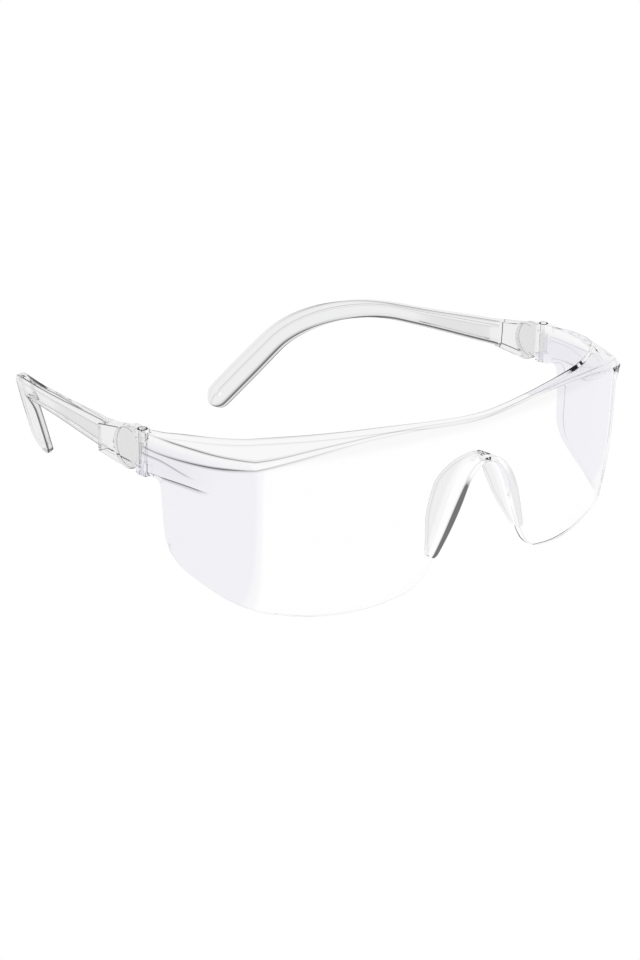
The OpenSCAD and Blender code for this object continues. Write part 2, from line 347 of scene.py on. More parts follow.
CREASE_Z = [(0, 49.1), (24, 50.5), (37, 50.5), (49, 49.7), (60, 48.3), (72, 46.9), (88, 45.6), (101, 45.3),
            (112, 45.6)]
EDGE_Z = [(0, 49.5), (12, 50.1), (24, 51), (36, 51.2), (48, 50.6), (58, 49.8), (70, 48.6), (81, 48.7),
          (101, 49.1), (112, 49.1)]
REAR_Z = [(0, 50), (20, 51.3), (30, 52.2), (38, 52.7), (52, 53), (66, 52.8), (79, 52.2), (91, 51.5),
          (101, 50.4), (108, 49.7)]
BROW_X = [(36, 35.63), (44, 43.4), (52, 50.8), (58, 56.4), (64, 61.8), (68, 65.3), (73, 68.8), (75.6, 71),
          (79, 73), (83, 74.6), (87, 75.9), (91, 76.9), (97, 78.2), (103, 79.5), (109, 79.7)]
BROW_Y = [(36, -7.58), (44, -5.6), (52, -2.9), (58, -0.2), (64, 3), (68, 5.3), (73, 7.8), (75.6, 10),
          (79, 12.6), (83, 15.8), (87, 19), (91, 22), (97, 27), (103, 32.2), (109, 37.4)]
BEVEL = [(0, 0.3), (36, 0.3), (60, 0.7), (72, 1), (110, 1)]
RIB = [(0, 0), (82, 0), (101, RIB_OUT), (110, RIB_OUT * 0.8)]
RIB_FOOT = [(0, 40), (84, 38.2), (94, 38.8), (103, 38.8), (108, 38.2)]
RIB_CREASE = [(0, 42), (86, 40.6), (102, 44), (110, 44)]
LIP = [(0, 0.1), (55, 0.2), (76, 0.6), (92, 0.4), (100, 0.1)]
SOLID_BAR = [(96, 0), (102, 1)]
WALL_STEPS = (0.0, 0.12, 0.28, 0.48, 0.72, 1.0)


def lens_y(x):
    """Depth of the lens's outer face at x."""
    return LENS_R - LENS_BULGE - math.sqrt(LENS_R ** 2 - x * x)


def side_x(y):
    """Half width of the shield's outer face at y: flared, curling in at the back, tucked in at the corner."""
    tuck = TUCK * (max(TUCK_LEN - y, 0) / TUCK_LEN) ** 2
    return CORNER_X + FLARE * y - CURL * max(y, 0) ** 3.5 / 3.5 - tuck


def side_slope(y):
    return FLARE - CURL * max(y, 0) ** 2.5 + 2 * TUCK * max(TUCK_LEN - y, 0) / TUCK_LEN ** 2


def lens_station(x, foot):
    nx, ny = -x, math.sqrt(LENS_R ** 2 - x * x)
    d = math.hypot(nx, ny)
    return (x, lens_y(x), nx / d, ny / d, foot, x, x, lens_y(x))


def side_station(y, foot):
    nx, ny = -1.0, side_slope(y)
    d = math.hypot(nx, ny)
    return (side_x(y), y, nx / d, ny / d, foot, SHIELD_0 + y, side_x(y), y)


def corner_station(t):
    """Round the corner from the lens at t = 0 to the shield at t = 1, while the brow keeps a crisp corner."""
    a = (LENS_END, lens_y(LENS_END))
    b = (CORNER_X - TUCK, CORNER_Y)
    c = (side_x(SIDE_Y0), SIDE_Y0)
    p = [(1 - t) ** 2 * a[i] + 2 * t * (1 - t) * b[i] + t * t * c[i] for i in (0, 1)]
    d = [2 * (1 - t) * (b[i] - a[i]) + 2 * t * (c[i] - b[i]) for i in (0, 1)]
    size = math.hypot(*d)
    brow = [a[i] + 2 * t * (b[i] - a[i]) if t < 0.5 else b[i] + (2 * t - 1) * (c[i] - b[i]) for i in (0, 1)]
    along = LENS_END + t * (SHIELD_0 + SIDE_Y0 - LENS_END)
    return (p[0], p[1], -d[1] / size, d[0] / size, CORNER_FOOT + CORNER_RISE * t, along, brow[0], brow[1])


def half_front():
    """Stations from the middle of the front to its end at the hinge, on the wearer's left."""
    rows = [lens_station(*bezier(ARCH, i / 12)) for i in range(13)]
    rows += [lens_station(*bezier(NOSE_CORNER, t)) for t in (0.2, 0.4, 0.6, 0.8, 1)]
    rows += [lens_station(x, smooth(LENS_FOOT, x)) for x in steps(33, 67, 11)]
    rows += [corner_station(t) for t in (0, 0.2, 0.36, 0.46, 0.5, 0.54, 0.64, 0.8, 1)]
    rows += [side_station(y, smooth(SIDE_FOOT, y)) for y in (8, 12, 16)]
    rows += [side_station(*bezier(REAR_CORNER, t)) for t in steps(0, 1, 5)]
    rows += [side_station(*bezier(REAR_FILLET, t)) for t in steps(0, 1, 4)]
    rows += [side_station(33.8, 37.5), side_station(BEAM_END - 0.35, 37.1), side_station(BEAM_END, 37.1)]
    return rows


def mirrored(station):
    """The same station on the wearer's right."""
    x, y, nx, ny, foot, along, brow_x, brow_y = station
    return (-x, y, -nx, ny, foot, along, -brow_x, brow_y)


def squeeze(z):
    """Share of its width that the front keeps at height z: a little fuller, then narrower to the foot."""
    h = max(0.0, (SWELL_Z - z) / SWELL_Z)
    return 1 + SWELL * h - FOOT_TAPER * h ** 3


def front_ring(station):
    """Corners of the front's section at a station, from the outer foot up over the brow and down inside, each
    with its rounding. A station is the outer face's place and inward direction, the foot's height, the
    distance along the front and the place of the brow's edge."""
    x, y, nx, ny, foot, a, brow_x, brow_y = station
    side = -1 if x < 0 else 1
    at, n = Vector((x, y)), Vector((nx, ny))
    low, crease, rear = smooth(RIB_FOOT, a), smooth(CREASE_Z, a), smooth(REAR_Z, a)
    rib = smooth(RIB, a)
    rib_at = at - rib * n
    back = at + WALL * n if a < 36 else Vector((side * smooth(BROW_X, a), smooth(BROW_Y, a)))
    bar = smooth(SOLID_BAR, a)
    wall_at = (1 - bar) * (at + WALL * n) + bar * back
    brow = Vector((brow_x, brow_y))
    crease_at = brow - (0.3 * rib + smooth(LIP, a)) * n
    edge_at = brow + smooth(BEVEL, a) * n
    wall_z = [foot + (low - foot) * k for k in WALL_STEPS]
    corners = [((at.x, at.y, foot), 0.5)]
    corners += [((at.x, at.y, z), 0) for z in wall_z[1:-1]]
    corners += [((at.x, at.y, low), 0.3 if rib > 0.2 else 0),
                ((rib_at.x, rib_at.y, low + RIB_SLOPE), 0.25 if rib > 0.2 else 0),
                ((rib_at.x, rib_at.y, smooth(RIB_CREASE, a)), 0.3 if rib > 0.2 else 0),
                ((crease_at.x, crease_at.y, crease), 0.3),
                ((edge_at.x, edge_at.y, smooth(EDGE_Z, a)), 0.25),
                ((back.x, back.y, rear), 0.3),
                ((back.x, back.y, rear - BROW_T), 0.3),
                ((wall_at.x, wall_at.y, crease - BROW_UNDER), 0.3)]
    corners += [((wall_at.x, wall_at.y, z), 0) for z in reversed(wall_z[1:])]
    corners += [((wall_at.x, wall_at.y, foot), 0.5)]
    return [((p[0] * squeeze(p[2]), p[1], p[2]), r) for p, r in corners]


# Strength of the painted edge shade at each edge of the front, from the middle of the front to the hinge
FOOT_EDGE_SHADE = [(0, 0.3), (96, 0.3), (100.5, 0.9), (112, 0.5)]
RIB_EDGE_SHADE = [(0, 0), (82, 0), (90, 0.9), (112, 1)]
RIB_TOP_EDGE_SHADE = [(0, 0), (86, 0), (94, 0.6), (108, 0.6)]
CREASE_EDGE_SHADE = [(0, 0.25), (40, 0.25), (60, 0.45), (74, 0.6), (78, 1), (92, 0.8), (104, 0.6)]
BROW_EDGE_SHADE = [(0, 0.4), (60, 0.5), (80, 0.7), (90, 0.8), (97, 0.8), (104, 0.4)]
REAR_EDGE_SHADE = [(0, 0.6), (60, 0.6), (80, 0.4), (95, 0.8), (108, 0.8)]
REAR_LOW_EDGE_SHADE = [(0, 0.3), (60, 0.3), (112, 0.2)]
# Painted edge shade is weaker past SOFT_FROM on the wearer's left.
LEFT_SHADE_SHARE, SOFT_FROM = 0.5, 60.0        # edges read softer past this width on the wearer's left
CORNER_EDGE_SHADE = {0: FOOT_EDGE_SHADE, 5: RIB_EDGE_SHADE, 7: RIB_TOP_EDGE_SHADE, 8: CREASE_EDGE_SHADE, 9: BROW_EDGE_SHADE, 10: REAR_EDGE_SHADE,
                11: REAR_LOW_EDGE_SHADE}
WALL_POINTS = (1, 2, 3, 4, 13, 14, 15, 16, 17)
FLAT_R = 0.3               # holding distance at a corner that lies flat


def full_ring(station):
    """Ring with the same number of points at every station, its corners held by a point each side, and the
    strength of the painted shade along its edges. The points up the walls, between the corners, need no
    holding."""
    corners = front_ring(station)
    ring, lines = [], []
    for i, (p, r) in enumerate(corners):
        if i in WALL_POINTS:
            ring.append(p)
            lines.append(0.0)
            continue
        line = smooth(CORNER_EDGE_SHADE[i], station[5]) if i in CORNER_EDGE_SHADE else 0.0
        if station[0] > SOFT_FROM:
            line *= LEFT_SHADE_SHARE
        ring += hold(p, corners[i - 1][0], corners[(i + 1) % len(corners)][0], r or FLAT_R)
        lines += [0.0, line, 0.0]
    return ring, lines


PAD_BACK = [(0, 0.55), (0.25, 0.75), (0.5, 1), (0.75, 0.9), (0.9, 0.6), (1, 0.42)]
PAD_FRONT = [(0, 0.8), (0.5, 1), (0.75, 0.75), (1, 0.2)]
LIP_WIDE = [(0, 0), (0.3, 0.2), (0.65, 1), (1, 0.2)]
LIP_PAINTED_SHADE = [(0, 0), (0.3, 0.1), (0.45, 0.8), (1, 0.9)]
NOSE_BACK = 9.0
NOSE_FRONT = 2.37
PAD_T0, PAD_T1 = 0.75, 0.85
PAD_EDGE = 0.35
PAD_RINGS = 16
# Painted shade on the front lip of each leg, darker on the right leg than on the left.
RIGHT_LIP_SHADE, LEFT_LIP_SHADE = 1.0, 0.3          # how dark the front lip reads on each leg


def pad_ring(side, t):
    """Section of the pads on one leg, at t down from the top of the arch: a plate with a wider front lip."""
    p, q, o = bezier(ARCH, t), bezier(ARCH, min(1, t + 0.02)), bezier(ARCH, max(0, t - 0.02))
    d = Vector((q[0] - o[0], q[1] - o[1])).normalized()
    nx, nz = -d.y, d.x
    front = lens_y(p[0]) - NOSE_FRONT * smooth(PAD_FRONT, t)
    back = -LENS_BULGE + NOSE_BACK * smooth(PAD_BACK, t)
    wide = smooth(LIP_WIDE, t)
    corners = [(side * (p[0] - nx * k), y, p[1] - nz * k)
               for k, y in ((-PAD_T0 - 0.3 * wide, front), (PAD_T1 + 0.9 * wide, front), (PAD_T1, back),
                            (-PAD_T0, back))]
    ring = []
    for i, corner in enumerate(corners):
        ring += hold(corner, corners[i - 1], corners[(i + 1) % 4], PAD_EDGE)
    return ring


def fixed_knuckle(side, z):
    barrel = rod("knuckle", BARREL_R, z, z + KNUCKLE_H, (side * HINGE_X, HINGE_Y, 0), (0, 0, 1),
                 BARREL_EDGE)
    x0, x1 = side * (HINGE_X - 1.4), side * (HINGE_X + BARREL_R - 0.02)
    web = block("web", (min(x0, x1), BEAM_END - 1.2, z + 0.02),
                (max(x0, x1), HINGE_Y + 0.05, z + KNUCKLE_H - 0.02))
    merge(barrel, web, "UNION")
    return barrel


def build_front():
    rows = half_front()
    stations = list(reversed(rows)) + [mirrored(station) for station in rows[1:]]
    made = [full_ring(s) for s in stations]
    shell = loft("lens_moulding", [ring for ring, _ in made], [lines for _, lines in made])
    shape(shell, subdiv=1)
    legs = [(-1, RIGHT_LIP_SHADE, t) for t in steps(1, 1 / PAD_RINGS, PAD_RINGS - 1)]
    legs += [(1, LEFT_LIP_SHADE, t) for t in steps(0, 1, PAD_RINGS)]
    # Painted shade along the pads' edges and on the front lip of each leg.
    pad_edge_shade = []
    for _, strength, t in legs:
        lip = strength * smooth(LIP_PAINTED_SHADE, t)
        pad_edge_shade.append([0, 0.3, lip, lip, 0.3, 0, 0, 0.3, 0, 0, 0.3, 0])
    pads = loft("nose_pads", [pad_ring(side, t) for side, _, t in legs], pad_edge_shade)
    shape(pads, subdiv=1)
    marked = read_painted_shade(shell) + read_painted_shade(pads)
    merge(shell, pads, "UNION")
    for side in (-1, 1):
        for z in (HINGE_LO, HINGE_HI - KNUCKLE_H):
            merge(shell, fixed_knuckle(side, z), "UNION")
        merge(shell, rod("bore", PIN_R + FIT, HINGE_LO - 1, HINGE_HI + 1,
                         (side * HINGE_X, HINGE_Y, 0), (0, 0, 1)), "DIFFERENCE")
    set_painted_shade(shell, marked)
    smooth_by_angle(shell, 28)
    return shell


# ---------------------------------------------------------------- hinge block and pin
def build_block():
    x0 = PLATE_X1 + SEAM
    flat_y = HINGE_Y + BARREL_R + 0.5
    # The disc's two rims carry painted edge shade.
    disc = rod("hinge_disc_left", DISC_R, x0, DISC_X1, (0, TILT_Y, TILT_Z), (1, 0, 0), DISC_EDGE, 96, 0.8)
    marked = read_painted_shade(disc)
    merge(disc, block("flat side", (PLATE_X0, flat_y - 10, TILT_Z - 8), (PLATE_X1 + 4, flat_y, TILT_Z + 8)),
          "DIFFERENCE")
    z0 = HINGE_LO + KNUCKLE_H + KNUCKLE_GAP
    z1 = HINGE_HI - KNUCKLE_H - KNUCKLE_GAP
    knuckle = rod("knuckle", BARREL_R, z0, z1, (HINGE_X, HINGE_Y, 0), (0, 0, 1), BARREL_EDGE)
    merge(knuckle, block("web", (x0, HINGE_Y, z0 + 0.02), (DISC_X1, HINGE_Y + 5, z1 - 0.02)), "UNION")
    merge(disc, knuckle, "UNION")
    merge(disc, rod("bore", PIN_R + FIT, z0 - 1, z1 + 1, (HINGE_X, HINGE_Y, 0), (0, 0, 1)), "DIFFERENCE")
    set_painted_shade(disc, marked)
    smooth_by_angle(disc, 28)
    return disc


def build_pin():
    shank = [(PIN_R - 0.15, HINGE_LO - 0.1), (PIN_R, HINGE_LO + 0.1), (PIN_R, HINGE_HI)]
    head = [(PIN_HEAD_R * math.cos(math.radians(a)), HINGE_HI + PIN_HEAD_H * math.sin(math.radians(a)))
            for a in (0, 15, 30, 45, 60, 72, 82)]
    pin = turned("hinge_pin_left_round", shank + head, (HINGE_X, HINGE_Y, 0), (0, 0, 1))
    smooth_by_angle(pin, 40)
    return pin


# ---------------------------------------------------------------- temple
ARM_DIR = (ARM_B - ARM_A).normalized()
TIP_DIR = (TIP - BEND_END).normalized()
BEND = [tuple(v) for v in (ARM_B, ARM_B + 17 * ARM_DIR, BEND_END - 14 * TIP_DIR, BEND_END)]
TIP_LEN = (TIP - BEND_END).length
# Painted edge shade of the arm, corner by corner.
ARM_EDGE_SHADE = (0.9, 0.6, 0.7, 0.6, 0.35, 0.3, 0.4, 1.0)        # edges of the arm, in the order of its ring
ARM_FOOT_SHADE = 0.6
# Painted shade on the floor of the recess and on the ear piece's lower face.
RECESS_FLOOR_SHADE, EAR_UNDERSIDE_SHADE = 0.22, 0.2
RECESS = [(0.11, 0), (0.15, 1), (0.62, 1), (0.92, 0)]     # share of the recess's depth along the arm
ARM_H = [(0, 8.6), (0.06, 8.4), (0.1, 8.2), (0.3, 7.6), (0.52, 6.7), (0.75, 6), (1, 5.6)]


def frame_at(d, up):
    w = (up - up.dot(d) * d).normalized()
    return d.cross(w).normalized(), w


def arm_ring(p, d, up, h, t, c=0.0, edge=ARM_EDGE):
    """Ring of the arm at p, square to d: height h along up, thickness t, recess depth c, edge radius."""
    n, w = frame_at(d, up)
    o, k = t / 2, h / 2
    low, high = -k + 0.9, 0.2 * h
    recess = [(o, high + 0.25), (o - c, high - 0.25), (o - c, low + 0.25), (o, low - 0.25)]
    corners = [(-o, -k), (-o, k), (o, k)] + recess + [(o, -k)]
    radii = [edge] * 3 + [RECESS_EDGE] * 4 + [edge]
    ring = []
    for i, (q, r) in enumerate(zip(corners, radii)):
        ring += hold(q, corners[i - 1], corners[(i + 1) % len(corners)], r, 0.4)
    return [tuple(p + a * n + b * w) for a, b in ring]


def arm_shade(recess, ear=0.0):
    """Painted shade before, at and after each corner of the arm's ring: wide at its outer foot, painted shade
    on the floor where it is recessed, and on the ear piece painted shade on its lower face and weaker painted
    shade at its top edges."""
    low_in, top_in, top_out, recess_top, floor_top, floor_low, recess_low, low_out = ARM_EDGE_SHADE
    floor, under = RECESS_FLOOR_SHADE * recess, EAR_UNDERSIDE_SHADE * ear
    return [under, low_in * (0.55 + 0.45 * ear), 0,
            0, top_in * (1 - 0.7 * ear), 0,
            0, top_out * (1 - 0.7 * ear), 0,
            0, recess_top, 0,
            0, floor_top, floor,
            floor, floor_low, 0,
            0, recess_low, 0,
            ARM_FOOT_SHADE, low_out, under]


def build_temple():
    up = Vector((0, 0, 1))
    rings, lines = [], []
    for u in (0, 0.03, 0.08, 0.11, 0.14, 0.2, 0.35, 0.5, 0.62, 0.72, 0.8, 0.87, 0.94):
        rings.append(arm_ring(ARM_A + u * (ARM_B - ARM_A), ARM_DIR, up, smooth(ARM_H, u),
                              ARM_T + ROOT_SWELL * max(0, 1 - u / 0.1), CHANNEL * smooth(RECESS, u)))
        lines.append(arm_shade(smooth(RECESS, u)))
    for t in steps(0, 1, 12):
        p = Vector(bezier(BEND, t))
        d = (Vector(bezier(BEND, min(1, t + 0.01))) - Vector(bezier(BEND, max(0, t - 0.01)))).normalized()
        rings.append(arm_ring(p, d, (1 - t) * up + t * EAR_UP, 5.6 + (EAR_W - 0.4 - 5.6) * t ** 1.5,
                              ARM_T + (EAR_T - ARM_T) * t, 0.0, ARM_EDGE + (EAR_EDGE - ARM_EDGE) * t))
        lines.append(arm_shade(0.0, t))
    end_r = EAR_W / 2
    straight = steps(0, TIP_LEN - end_r, 6)[1:-1]
    rounded = [TIP_LEN - end_r + end_r * math.sin(math.radians(a)) for a in range(0, 91, 15)]
    for s in straight + rounded:
        over = max(0, s - TIP_LEN + end_r) / end_r
        width = max(1.6, (EAR_W - 0.4 + 0.4 * min(1, s / 10)) * math.sqrt(max(0, 1 - over * over)))
        rings.append(arm_ring(BEND_END + s * TIP_DIR, TIP_DIR, EAR_UP, width, EAR_T, 0.0, EAR_EDGE))
        lines.append(arm_shade(0.0, 1.0))
    arm = loft("temple_arm_left", rings, lines)
    shape(arm, subdiv=2)
    marked = read_painted_shade(arm)

    # The plate's two rims carry painted edge shade.
    plate = rod("plate", DISC_R, PLATE_X0, PLATE_X1, (0, TILT_Y, TILT_Z), (1, 0, 0), PLATE_EDGE, 96, 0.7)
    marked += read_painted_shade(plate)
    merge(plate, block("front side", (PLATE_X0 - 1, TILT_Y - 12, TILT_Z - 9),
                       (PLATE_X1 + 1, HINGE_Y + BARREL_R + 0.9, TILT_Z + 9)), "DIFFERENCE")
    root = extruded("root", [(TILT_Y, TILT_Z - DISC_R), (TILT_Y + 4, TILT_Z - DISC_R + 0.4),
                             (ROOT_Y, TILT_Z - 4.6), (ROOT_Y, TILT_Z + 3.6),
                             (TILT_Y + 4, TILT_Z + DISC_R - 1), (TILT_Y, TILT_Z + DISC_R)], PLATE_X0, DISC_X1)
    shape(root, bevel=0.35)
    # Painted edge shade on the root's rounded edges.
    mark_bevel_shade(root, 0.8)
    marked += read_painted_shade(root)
    pocket = rod("pocket", DISC_R + SEAM, PLATE_X1, PLATE_X1 + 5, (0, TILT_Y, TILT_Z), (1, 0, 0), 0.0, 96)
    merge(root, pocket, "DIFFERENCE")
    merge(root, block("front side", (PLATE_X1, TILT_Y - 9, TILT_Z - 9), (PLATE_X1 + 4, TILT_Y, TILT_Z + 9)),
          "DIFFERENCE")
    merge(plate, root, "UNION")
    merge(arm, plate, "UNION")
    n, _ = frame_at(TIP_DIR, EAR_UP)
    hole = BEND_END + (TIP_LEN - EAR_W / 2) * TIP_DIR
    merge(arm, rod("cord hole", CORD_R, -5, 5, tuple(hole), tuple(n)), "DIFFERENCE")
    set_painted_shade(arm, marked)
    smooth_by_angle(arm, 28)
    return arm


# ---------------------------------------------------------------- materials
def clear_plastic(name, tint, zones=None):
    """Clear moulded polycarbonate of one tint, with painted shade at its edges and grazing rims. The front
    has four
    zones of other colours: brow, shield, rib and nose, with painted shade in each and a little violet on the
    shields and rib."""
    mat = bpy.data.materials.new(name)
    mat.use_nodes = True
    nodes, links = mat.node_tree.nodes, mat.node_tree.links
    nodes.clear()
    out = nodes.new("ShaderNodeOutputMaterial")
    out.label = "clear plastic"
    out.location = (1300, 0)
    plastic = nodes.new("ShaderNodeBsdfPrincipled")
    plastic.label = "polished polycarbonate"
    plastic.location = (1000, 0)
    plastic.inputs["Transmission Weight"].default_value = 1.0
    plastic.inputs["IOR"].default_value = 1.12
    plastic.inputs["Base Color"].default_value = (*tint, 1)
    links.new(plastic.outputs["BSDF"], out.inputs["Surface"])
    place = nodes.new("ShaderNodeTexCoord")
    place.label = "place on the piece"
    place.location = (-1200, 0)

    polish = nodes.new("NodeFrame")
    polish.label = "mould polish"
    haze = nodes.new("ShaderNodeTexNoise")
    haze.label = "faint handling haze"
    haze.parent = polish
    haze.location = (300, -400)
    haze.inputs["Scale"].default_value = 90.0
    haze.inputs["Detail"].default_value = 3.0
    rough = nodes.new("ShaderNodeMapRange")
    rough.label = "polish, a little uneven"
    rough.parent = polish
    rough.location = (550, -400)
    rough.inputs["From Min"].default_value = 0.45
    rough.inputs["From Max"].default_value = 0.8
    rough.inputs["To Max"].default_value = 0.006
    links.new(place.outputs["Object"], haze.inputs["Vector"])
    links.new(haze.outputs["Fac"], rough.inputs["Value"])
    links.new(rough.outputs["Result"], plastic.inputs["Roughness"])

    edges = nodes.new("NodeFrame")
    edges.label = "painted shade at the edges"
    # Painted shade along the marked edges.
    marked = nodes.new("ShaderNodeAttribute")
    marked.label = "painted edge shade marks"
    marked.attribute_name = "painted_edge_shade"
    marked.parent = edges
    marked.location = (300, 500)
    crisp = nodes.new("ShaderNodeMapRange")
    crisp.label = "crisp line"
    crisp.parent = edges
    crisp.location = (500, 450)
    crisp.inputs["From Min"].default_value = 0.1
    crisp.inputs["From Max"].default_value = 0.65
    # Painted shade along grazing rims, where the surface turns edge-on.
    slant = nodes.new("ShaderNodeLayerWeight")
    slant.label = "how near a grazing rim"
    slant.parent = edges
    slant.location = (100, 700)
    slant.inputs["Blend"].default_value = 0.5
    thin = nodes.new("ShaderNodeMapRange")
    thin.label = "thin painted rim shade"
    thin.parent = edges
    thin.location = (300, 700)
    thin.inputs["From Min"].default_value = 0.8
    thin.inputs["From Max"].default_value = 1.0
    thin.inputs["To Max"].default_value = 0.7
    either = nodes.new("ShaderNodeMath")
    either.operation = "MAXIMUM"
    either.label = "rim or edge"
    either.use_clamp = True
    either.parent = edges
    either.location = (500, 600)
    edge_shaded = nodes.new("ShaderNodeMix")
    edge_shaded.data_type = "RGBA"
    edge_shaded.label = "painted edge and rim shade"
    edge_shaded.parent = edges
    edge_shaded.location = (750, 400)
    edge_shaded.inputs["A"].default_value = (*tint, 1)
    # Colour of the painted shade at edges and rims.
    edge_shaded.inputs["B"].default_value = (0.03, 0.03, 0.032, 1)
    links.new(slant.outputs["Facing"], thin.inputs["Value"])
    links.new(thin.outputs["Result"], either.inputs[0])
    links.new(marked.outputs["Fac"], crisp.inputs["Value"])
    links.new(crisp.outputs["Result"], either.inputs[1])
    links.new(either.outputs["Value"], edge_shaded.inputs["Factor"])
    links.new(edge_shaded.outputs["Result"], plastic.inputs["Base Color"])
    if not zones:
        return mat

    brow_shade, shield_tint_and_shade, rib_shade, nose_shade = zones
    # Painted shade by zone: greyer brow, rib and nose, and the shields a little violet as well as shaded.
    tones = nodes.new("NodeFrame")
    tones.label = "painted shade by zone, shields a little violet"
    split = nodes.new("ShaderNodeSeparateXYZ")
    split.label = "across, depth and height"
    split.parent = tones
    split.location = (-1000, 300)
    across = nodes.new("ShaderNodeMath")
    across.operation = "ABSOLUTE"
    across.label = "both sides alike"
    across.parent = tones
    across.location = (-800, 400)
    in_brow = nodes.new("ShaderNodeMapRange")
    in_brow.label = "brow, above the crease"
    in_brow.parent = tones
    in_brow.location = (-550, 700)
    in_brow.inputs["From Min"].default_value = 45.6 * MM
    in_brow.inputs["From Max"].default_value = 47.4 * MM
    in_shield = nodes.new("ShaderNodeMapRange")
    in_shield.label = "past the lens's corner"
    in_shield.parent = tones
    in_shield.location = (-550, 450)
    in_shield.inputs["From Min"].default_value = 70.6 * MM
    in_shield.inputs["From Max"].default_value = 71.6 * MM
    in_rib = nodes.new("ShaderNodeMapRange")
    in_rib.label = "rear end of the shields"
    in_rib.parent = tones
    in_rib.location = (-550, 200)
    in_rib.inputs["From Min"].default_value = (10.0 - Y_MID) * MM
    in_rib.inputs["From Max"].default_value = (22.0 - Y_MID) * MM
    by_hinge = nodes.new("ShaderNodeMapRange")
    by_hinge.label = "level with the hinge"
    by_hinge.parent = tones
    by_hinge.location = (-550, -50)
    by_hinge.inputs["From Min"].default_value = 37.0 * MM
    by_hinge.inputs["From Max"].default_value = 40.0 * MM
    rib_here = nodes.new("ShaderNodeMath")
    rib_here.operation = "MULTIPLY"
    rib_here.label = "rib zone"
    rib_here.parent = tones
    rib_here.location = (-300, 100)
    behind = nodes.new("ShaderNodeMapRange")
    behind.label = "behind the lens"
    behind.parent = tones
    behind.location = (-550, -300)
    behind.inputs["From Min"].default_value = (-9.3 - Y_MID) * MM
    behind.inputs["From Max"].default_value = (-8.6 - Y_MID) * MM
    middle = nodes.new("ShaderNodeMapRange")
    middle.label = "between the eyes"
    middle.parent = tones
    middle.location = (-550, -550)
    middle.inputs["From Min"].default_value = 20.6 * MM
    middle.inputs["From Max"].default_value = 19.8 * MM
    nose_here = nodes.new("ShaderNodeMath")
    nose_here.operation = "MULTIPLY"
    nose_here.label = "nose pads"
    nose_here.parent = tones
    nose_here.location = (-300, -400)
    shield = nodes.new("ShaderNodeMix")
    shield.data_type = "RGBA"
    shield.label = "shield tint and painted shade"
    shield.parent = tones
    shield.location = (-50, 400)
    shield.inputs["A"].default_value = (*tint, 1)
    shield.inputs["B"].default_value = (*shield_tint_and_shade, 1)
    ribbed = nodes.new("ShaderNodeMix")
    ribbed.data_type = "RGBA"
    ribbed.label = "rib painted shade"
    ribbed.parent = tones
    ribbed.location = (180, 300)
    ribbed.inputs["B"].default_value = (*rib_shade, 1)
    nosed = nodes.new("ShaderNodeMix")
    nosed.data_type = "RGBA"
    nosed.label = "nose painted shade"
    nosed.parent = tones
    nosed.location = (410, 200)
    nosed.inputs["B"].default_value = (*nose_shade, 1)
    browed = nodes.new("ShaderNodeMix")
    browed.data_type = "RGBA"
    browed.label = "brow painted shade"
    browed.parent = tones
    browed.location = (640, 100)
    browed.inputs["B"].default_value = (*brow_shade, 1)
    links.new(place.outputs["Object"], split.inputs["Vector"])
    links.new(split.outputs["X"], across.inputs[0])
    links.new(across.outputs["Value"], in_shield.inputs["Value"])
    links.new(across.outputs["Value"], middle.inputs["Value"])
    links.new(split.outputs["Y"], in_rib.inputs["Value"])
    links.new(split.outputs["Y"], behind.inputs["Value"])
    links.new(split.outputs["Z"], by_hinge.inputs["Value"])
    links.new(split.outputs["Z"], in_brow.inputs["Value"])
    links.new(in_rib.outputs["Result"], rib_here.inputs[0])
    links.new(by_hinge.outputs["Result"], rib_here.inputs[1])
    links.new(behind.outputs["Result"], nose_here.inputs[0])
    links.new(middle.outputs["Result"], nose_here.inputs[1])
    links.new(in_shield.outputs["Result"], shield.inputs["Factor"])
    links.new(shield.outputs["Result"], ribbed.inputs["A"])
    links.new(rib_here.outputs["Value"], ribbed.inputs["Factor"])
    links.new(ribbed.outputs["Result"], nosed.inputs["A"])
    links.new(nose_here.outputs["Value"], nosed.inputs["Factor"])
    links.new(nosed.outputs["Result"], browed.inputs["A"])
    links.new(in_brow.outputs["Result"], browed.inputs["Factor"])
    links.new(browed.outputs["Result"], edge_shaded.inputs["A"])
    return mat


def paint(piece, mat):
    piece.data.materials.clear()
    piece.data.materials.append(mat)
    for poly in piece.data.polygons:
        poly.material_index = 0


# Colours of the painted shade zones on the front; the shields and rib are also a little violet.
BROW_PAINTED_SHADE, SHIELD_TINT_AND_SHADE = (0.94, 0.94, 0.94), (0.885, 0.88, 0.92)
RIB_PAINTED_SHADE, NOSE_PAINTED_SHADE = (0.83, 0.82, 0.87), (0.87, 0.87, 0.87)
front_plastic = clear_plastic("clear front plastic", (0.995, 0.995, 0.995),
                              (BROW_PAINTED_SHADE, SHIELD_TINT_AND_SHADE, RIB_PAINTED_SHADE, NOSE_PAINTED_SHADE))
block_plastic = clear_plastic("clear hinge plastic", (0.87, 0.87, 0.87))
pin_plastic = clear_plastic("clear pin plastic", (0.95, 0.95, 0.95))
temple_plastic = clear_plastic("clear temple plastic", (0.86, 0.86, 0.865))

front = build_front()
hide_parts("lens_front")
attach(front, "front")
paint(front, front_plastic)

block_left = build_block()
pin_left = build_pin()
temple_left = build_temple()
for piece, node, body, slot, mat in (
        (block_left, "hinge_block_left", "hinge_left", "clear_block", block_plastic),
        (mirror_piece(block_left, "hinge_disc_right"), "hinge_block_right", "hinge_right", "clear_block",
         block_plastic),
        (pin_left, "hinge_pin_left", "front", "clear_pin", pin_plastic),
        (mirror_piece(pin_left, "hinge_pin_right_round"), "hinge_pin_right", "front", "clear_pin",
         pin_plastic),
        (temple_left, "temple_left", "arm_left", "clear_temple", temple_plastic),
        (mirror_piece(temple_left, "temple_arm_right"), "temple_right", "arm_right", "clear_temple",
         temple_plastic)):
    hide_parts(node)
    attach(piece, body)
    paint(piece, mat)


